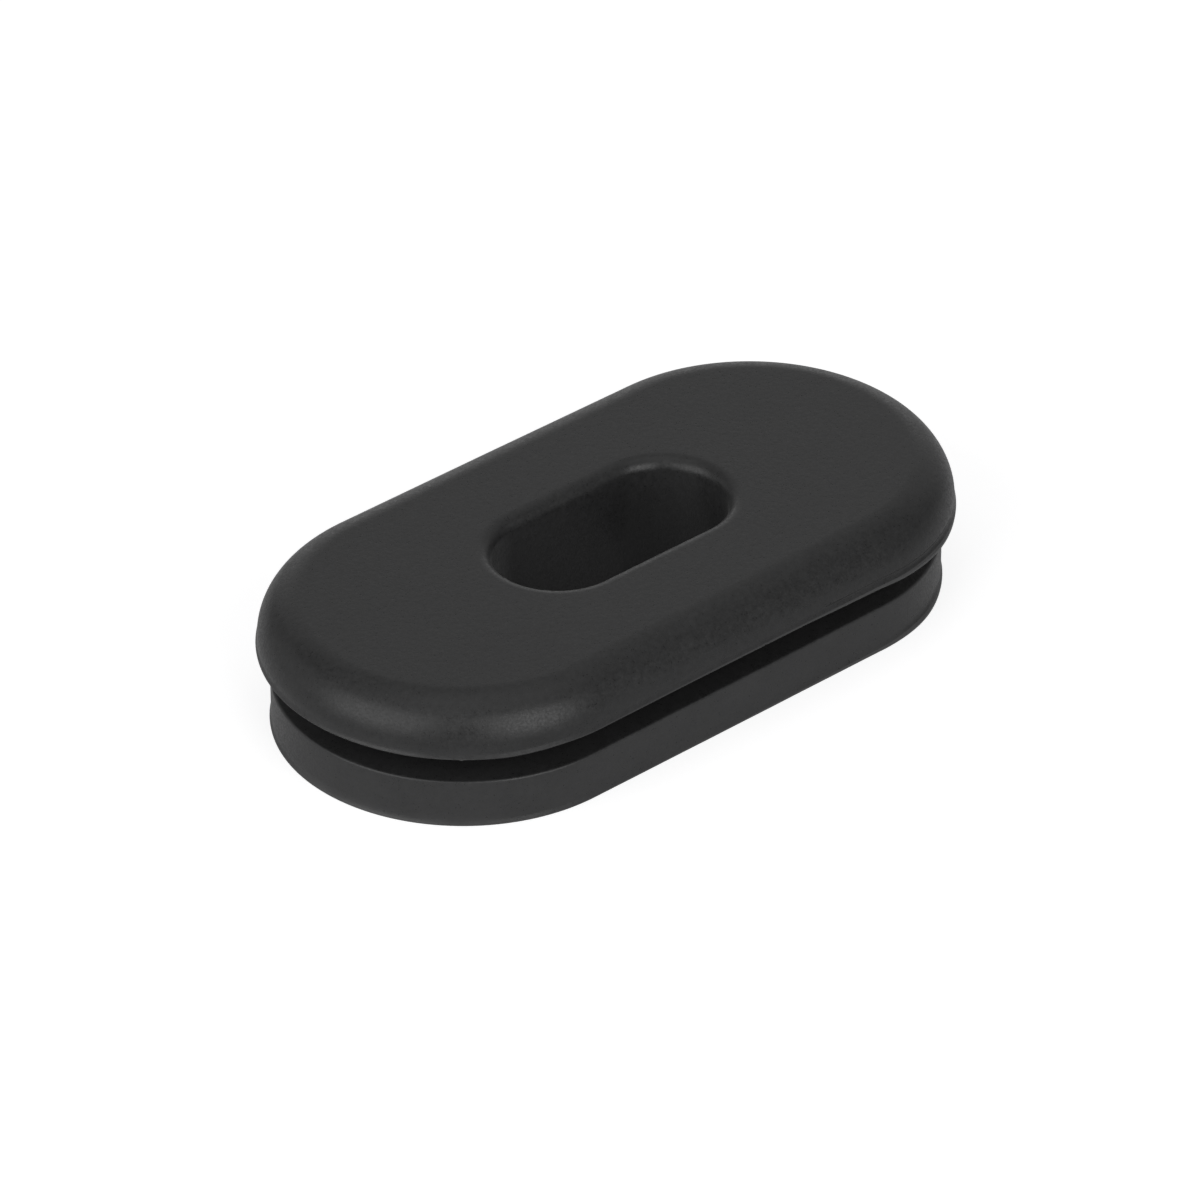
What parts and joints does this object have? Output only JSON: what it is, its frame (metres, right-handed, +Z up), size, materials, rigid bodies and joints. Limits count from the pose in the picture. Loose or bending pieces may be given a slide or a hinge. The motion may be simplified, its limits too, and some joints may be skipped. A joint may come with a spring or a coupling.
{
  "type": "silicone plug",
  "caption": "Oblong moulded silicone plug with a thick rounded top flange, a panel groove, a smaller bottom flange and an oblong slot through it.",
  "frame": {"origin": "middle of the underside, on the surface that the plug stands on", "axes": "+X along the plug's length, +Y across its width, +Z up from the bottom flange to the top flange"},
  "size_m": [0.0582, 0.0302, 0.0104],
  "materials": {
    "silicone": "matte charcoal moulded silicone with a fine grain and a soft sheen on the rounds"
  },
  "bodies": {
    "root": {"plug": "silicone"}
  },
  "joints": []
}
